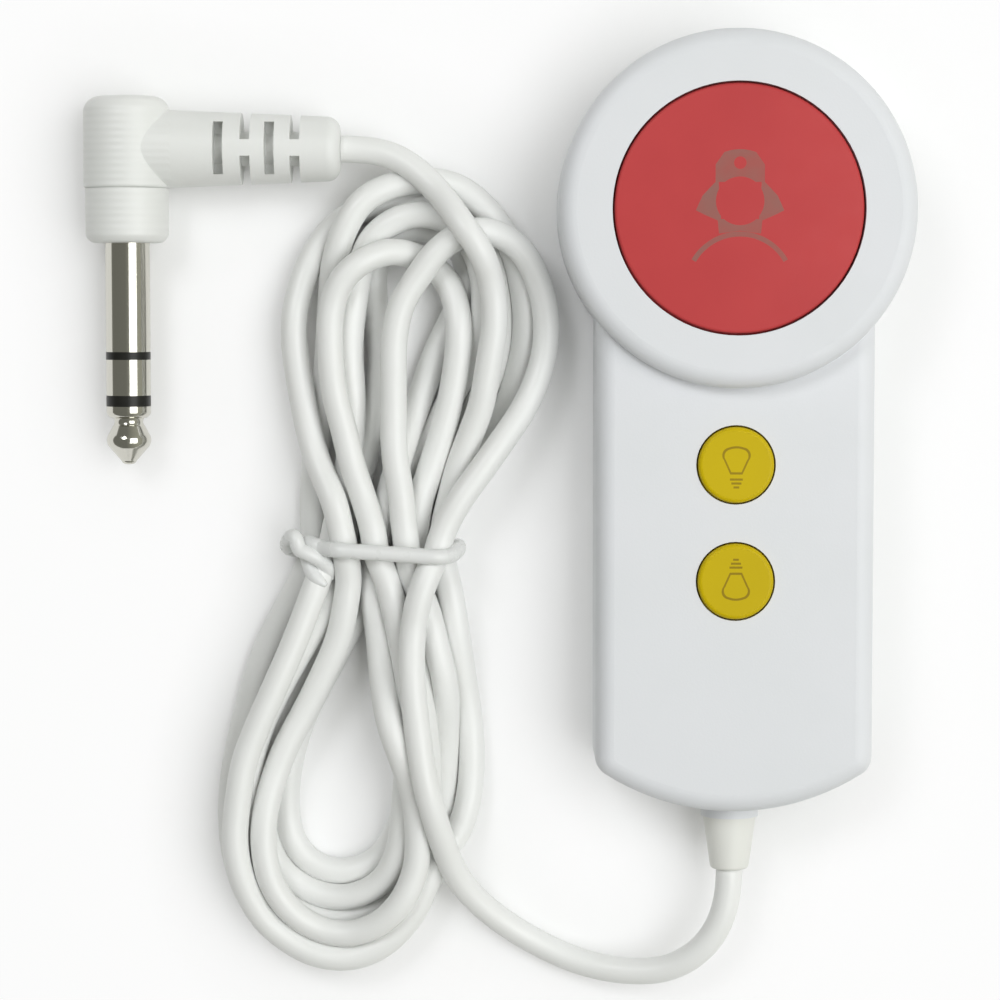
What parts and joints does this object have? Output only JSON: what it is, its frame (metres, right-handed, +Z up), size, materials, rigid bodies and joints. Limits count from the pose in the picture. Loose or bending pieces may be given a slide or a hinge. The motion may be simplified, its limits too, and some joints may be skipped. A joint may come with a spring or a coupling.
{
  "type": "pear-shaped call button",
  "caption": "Hand-held patient call button with a round red push cap, yellow lamp buttons and a tied cord with a right-angle jack plug.",
  "frame": {"origin": "middle of the handset's footprint, on the face that it lies on; the cord, its strain relief and its plug aren't counted", "axes": "+Y along the handset towards the round head, +Z up out of the buttons, +X to the right seen from above"},
  "size_m": [0.1168, 0.1365, 0.0218],
  "materials": {
    "housing_white": "finely textured moulded plastic",
    "call_red": "satin, slightly soft plastic",
    "lamp_yellow": "satin moulded plastic",
    "print_grey": "flat printed ink",
    "print_olive": "flat printed ink",
    "board_green": "solder resist over glass laminate",
    "switch_black": "moulded plastic",
    "plunger_grey": "moulded plastic",
    "steel": "zinc plated",
    "spring_steel": "drawn spring wire",
    "relief_cream": "soft moulded plastic, satin",
    "cord_white": "soft extruded jacket, satin",
    "tie_white": "soft glossy plastic",
    "plug_white": "soft moulded plastic, satin",
    "contact_nickel": "polished nickel plate",
    "insulator_black": "moulded plastic",
    "wire_insulation": "extruded insulation",
    "resistor_tan": "lacquered"
  },
  "bodies": {
    "handset": {"back_cover": "housing_white", "front_cover": "housing_white", "cover_screws": "steel", "circuit_board": "board_green", "board_screws": "steel", "call_switch": "switch_black", "return_spring": "spring_steel", "lamp_switch_upper": "switch_black", "lamp_switch_lower": "switch_black", "coding_resistors": "resistor_tan", "handset_wires": "wire_insulation", "strain_relief": "relief_cream", "cord_clamp": "switch_black", "clamp_screws": "steel", "cord_handset_end": "cord_white", "plug_sleeve": "contact_nickel", "plug_rear_insulator": "insulator_black", "plug_ring": "contact_nickel", "plug_front_insulator": "insulator_black", "plug_tip": "contact_nickel", "cord_plug_end": "cord_white", "plug_wires": "wire_insulation", "plug_collar": "plug_white", "plug_housing": "plug_white", "cord_tie": "tie_white", "cord_hank": "cord_white", "cord_lead": "cord_white", "cord_plug_lead": "cord_white"},
    "call_button": {"call_cap": "call_red", "nurse_symbol": "print_grey", "call_plunger": "plunger_grey"},
    "lamp_button_upper": {"lamp_cap_upper": "lamp_yellow", "lamp_symbol_upper": "print_olive", "lamp_plunger_upper": "plunger_grey"},
    "lamp_button_lower": {"lamp_cap_lower": "lamp_yellow", "lamp_symbol_lower": "print_olive", "lamp_plunger_lower": "plunger_grey"}
  },
  "joints": [
    {"name": "call_press", "type": "slide", "parent": "handset", "child": "call_button", "axis": [0, 0, -1], "range_m": [0, 0.0008], "stiffness_N_per_m": 2500, "springref_m": -0.0008, "deforming": ["return_spring"]},
    {"name": "lamp_press_upper", "type": "slide", "parent": "handset", "child": "lamp_button_upper", "axis": [0, 0, -1], "range_m": [0, 0.0004], "stiffness_N_per_m": 3000, "springref_m": -0.0004},
    {"name": "lamp_press_lower", "type": "slide", "parent": "handset", "child": "lamp_button_lower", "axis": [0, 0, -1], "range_m": [0, 0.0004], "stiffness_N_per_m": 3000, "springref_m": -0.0004}
  ]
}
